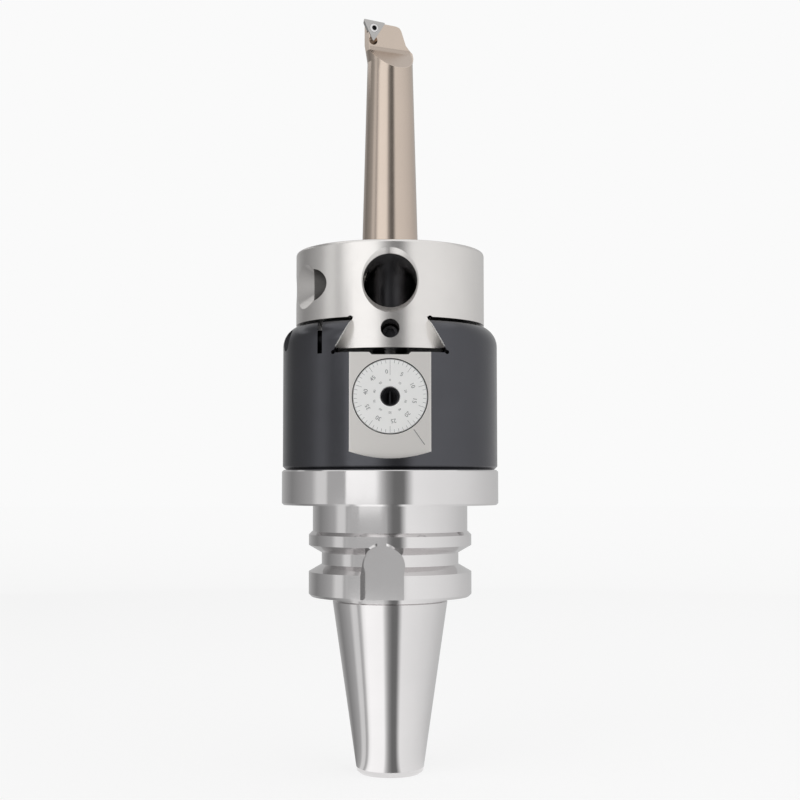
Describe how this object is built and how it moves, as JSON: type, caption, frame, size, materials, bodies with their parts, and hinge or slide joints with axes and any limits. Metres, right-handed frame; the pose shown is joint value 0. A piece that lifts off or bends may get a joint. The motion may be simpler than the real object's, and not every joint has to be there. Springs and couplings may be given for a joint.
{
  "type": "boring head",
  "caption": "Boring head with a taper shank and flange, black body with micrometer dial, dovetail slide with bar bores and clamp screws, and a tapered boring bar with a carbide insert.",
  "frame": {"origin": "centre of the shank's gauge plane, on the spindle axis", "axes": "+Z along the spindle axis from the shank to the cutting tip, slide travel along Y with the dial on the -Y side, clamp screws on the -X side"},
  "size_m": [0.084, 0.084, 0.2935],
  "materials": {
    "polished_steel": "ground and polished tool steel",
    "black_oxide": "black oxide, semi-gloss, with a bare ground flat",
    "satin_nickel": "satin nickel plate",
    "champagne_nickel": "warm champagne nickel plate",
    "dial_silver": "satin chrome with engraved scale",
    "bronze": "bearing bronze, turned",
    "dark_screw": "black oxide socket screw",
    "bright_steel": "hardened and ground steel",
    "seal_rubber": "nitrile rubber",
    "carbide": "coated carbide"
  },
  "bodies": {
    "arbor": {"taper_arbor": "polished_steel", "arbor_bolts": "dark_screw", "arbor_dowel": "bright_steel", "head_body": "black_oxide", "retaining_ring": "bright_steel", "thrust_bush": "bronze", "rear_bush": "bronze"},
    "dial": {"micrometer_dial": "dial_silver", "dial_seal": "seal_rubber", "dial_pin": "bright_steel", "lead_screw": "bright_steel"},
    "slide": {"slide_block": "satin_nickel", "feed_nut": "bronze", "drive_peg": "bright_steel", "peg_clamp_screw": "dark_screw"},
    "bar": {"boring_bar": "champagne_nickel", "cutting_insert": "carbide", "insert_screw": "dark_screw"},
    "gib_screw_front_body": {"gib_screw_front": "dark_screw"},
    "gib_screw_middle_body": {"gib_screw_middle": "dark_screw"},
    "gib_screw_rear_body": {"gib_screw_rear": "dark_screw"},
    "bar_clamp_front_body": {"bar_clamp_screw_front": "dark_screw"},
    "bar_clamp_middle_body": {"bar_clamp_screw_middle": "dark_screw"},
    "bar_clamp_rear_body": {"bar_clamp_screw_rear": "dark_screw"}
  },
  "joints": [
    {"name": "dial_turn", "type": "hinge", "parent": "arbor", "child": "dial", "pos_m": [0, -0.0389, 0.077], "axis": [0, -1, 0], "range_deg": [-2880, 11520]},
    {"name": "slide_travel", "type": "slide", "parent": "arbor", "child": "slide", "axis": [0, 1, 0], "range_m": [-0.004, 0.016]},
    {"name": "bar_draw", "type": "slide", "parent": "slide", "child": "bar", "axis": [0, 0, 1], "range_m": [0, 0.026]},
    {"name": "gib_screw_front_turn", "type": "hinge", "parent": "arbor", "child": "gib_screw_front_body", "pos_m": [-0.035, -0.012, 0.0999], "axis": [-1, 0, 0], "range_deg": [0, 720]},
    {"name": "gib_screw_middle_turn", "type": "hinge", "parent": "arbor", "child": "gib_screw_middle_body", "pos_m": [-0.035, 0, 0.0999], "axis": [-1, 0, 0], "range_deg": [0, 720]},
    {"name": "gib_screw_rear_turn", "type": "hinge", "parent": "arbor", "child": "gib_screw_rear_body", "pos_m": [-0.035, 0.012, 0.0999], "axis": [-1, 0, 0], "range_deg": [0, 720]},
    {"name": "bar_clamp_front_turn", "type": "hinge", "parent": "slide", "child": "bar_clamp_front_body", "pos_m": [-0.02, -0.022, 0.12], "axis": [-1, 0, 0], "range_deg": [0, 720]},
    {"name": "bar_clamp_middle_turn", "type": "hinge", "parent": "slide", "child": "bar_clamp_middle_body", "pos_m": [-0.02, 0, 0.12], "axis": [-1, 0, 0], "range_deg": [0, 720]},
    {"name": "bar_clamp_rear_turn", "type": "hinge", "parent": "slide", "child": "bar_clamp_rear_body", "pos_m": [-0.02, 0.022, 0.12], "axis": [-1, 0, 0], "range_deg": [0, 720]}
  ],
  "couplings": [
    {"joint": "dial_turn", "follows": "slide_travel", "rad_per_m": 12566}
  ]
}
